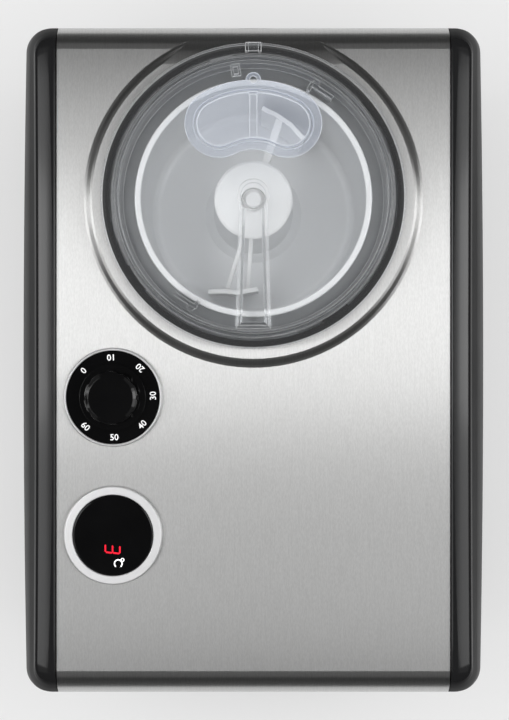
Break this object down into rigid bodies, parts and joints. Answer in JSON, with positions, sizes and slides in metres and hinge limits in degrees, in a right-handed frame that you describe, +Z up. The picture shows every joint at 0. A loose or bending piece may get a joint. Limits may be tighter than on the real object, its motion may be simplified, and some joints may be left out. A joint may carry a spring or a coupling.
{
  "type": "ice cream maker",
  "caption": "Self-cooling ice cream maker: brushed steel cover between black side panels, lift-out bowl with paddle under a clear lid, timer dial and round display.",
  "frame": {"origin": "on the table under the middle of the body", "axes": "+Z up; -Y is the front with the timer and display, where the user stands; -X is the user's left, the bowl's end"},
  "size_m": [0.4212, 0.296, 0.2623],
  "materials": {
    "brushed_steel": "brushed along the machine's length",
    "gloss_black": "moulded, high gloss",
    "satin_black": "moulded, satin",
    "tray_plastic": "moulded, plain",
    "rubber_black": "plain",
    "bright_steel": "turned and plated",
    "bowl_aluminium": "anodised, satin, bright rolled rim",
    "drum_aluminium": "mill finish",
    "copper": "drawn copper tube or enamelled wire",
    "foam": "rigid foam",
    "zinc_steel": "zinc-plated sheet",
    "paddle_white": "moulded, food grade",
    "clear_lid": "clear moulded plastic",
    "clear_flap": "clear moulded plastic, faintly blue",
    "seal_rubber": "soft, pale",
    "bronze": "sintered or machined",
    "gear_plastic": "moulded, natural",
    "chrome_ring": "polished",
    "lens_black": "smoked window",
    "compressor_paint": "satin black enamel",
    "dark_metal": "satin",
    "board_green": "laminate with plain blocks for its parts"
  },
  "bodies": {
    "housing": {"steel_cover": "brushed_steel", "front_panel": "gloss_black", "rear_panel": "gloss_black", "base_tray": "tray_plastic", "feet": "rubber_black", "cover_screws": "bright_steel", "panel_screws": "bright_steel", "mains_inlet": "satin_black", "inlet_pins": "bright_steel", "collar_ring": "satin_black", "evaporator_drum": "drum_aluminium", "evaporator_coil": "copper", "foam_jacket": "foam", "support_frame": "zinc_steel", "shaft_seal": "seal_rubber", "shaft_bushes": "bronze", "gear_pin": "bright_steel", "gearbox_base": "tray_plastic", "gearbox_cover": "tray_plastic", "gearbox_screws": "bright_steel", "motor_core": "zinc_steel", "motor_coil": "copper", "timer_body": "gear_plastic", "timer_plate": "satin_black", "timer_bezel": "chrome_ring", "display_body": "tray_plastic", "display_bezel": "chrome_ring", "display_lens": "lens_black", "compressor": "compressor_paint", "compressor_feet": "rubber_black", "terminal_cover": "tray_plastic", "condenser_fins": "drum_aluminium", "condenser_tube": "copper", "fan_shroud": "tray_plastic", "fan_motor": "dark_metal", "filter_drier": "copper", "suction_line": "copper", "discharge_line": "copper", "liquid_line": "copper", "capillary_line": "copper", "control_board": "board_green"},
    "bowl": {"bowl": "bowl_aluminium"},
    "paddle": {"paddle": "paddle_white"},
    "lid_seal": {"lid_seal": "seal_rubber"},
    "lid": {"lid": "clear_lid"},
    "refill_flap": {"refill_flap": "clear_flap"},
    "drive": {"drive_shaft": "bright_steel", "output_gear": "gear_plastic"},
    "compound": {"compound_gear": "gear_plastic"},
    "rotor": {"motor_pinion": "bronze", "motor_rotor": "bright_steel"},
    "timer_knob": {"timer_shaft": "bright_steel", "timer_knob": "satin_black"},
    "fan": {"fan_rotor": "tray_plastic"}
  },
  "joints": [
    {"name": "bowl_lift", "type": "slide", "parent": "housing", "child": "bowl", "axis": [0, 0, 1], "range_m": [0, 0.13]},
    {"name": "paddle_spin", "type": "hinge", "parent": "bowl", "child": "paddle", "pos_m": [-0.1, 0, 0.229], "axis": [0, 0, 1], "continuous": true},
    {"name": "lid_lift", "type": "slide", "parent": "bowl", "child": "lid_seal", "axis": [0, 0, 1], "range_m": [0, 0.08]},
    {"name": "lid_turn", "type": "hinge", "parent": "lid_seal", "child": "lid", "pos_m": [-0.1, 0, 0.2503], "axis": [0, 0, 1], "range_deg": [0, 22]},
    {"name": "flap_lift", "type": "slide", "parent": "lid", "child": "refill_flap", "axis": [0, 0, 1], "range_m": [0, 0.05]},
    {"name": "drive_spin", "type": "hinge", "parent": "housing", "child": "drive", "pos_m": [-0.1, 0, 0.09], "axis": [0, 0, 1], "continuous": true},
    {"name": "compound_spin", "type": "hinge", "parent": "housing", "child": "compound", "pos_m": [-0.05625, 0, 0.09], "axis": [0, 0, 1], "continuous": true},
    {"name": "rotor_spin", "type": "hinge", "parent": "housing", "child": "rotor", "pos_m": [-0.05625, -0.036, 0.09], "axis": [0, 0, 1], "continuous": true},
    {"name": "fan_spin", "type": "hinge", "parent": "housing", "child": "fan", "pos_m": [0.15, 0, 0.074], "axis": [1, 0, 0], "continuous": true},
    {"name": "timer_turn", "type": "hinge", "parent": "housing", "child": "timer_knob", "pos_m": [0.023, -0.0865, 0.25], "axis": [0, 0, -1], "range_deg": [0, 270]}
  ],
  "couplings": [
    {"joint": "paddle_spin", "follows": "drive_spin", "ratio": 1},
    {"joint": "compound_spin", "follows": "drive_spin", "ratio": -4},
    {"joint": "rotor_spin", "follows": "drive_spin", "ratio": 20}
  ]
}
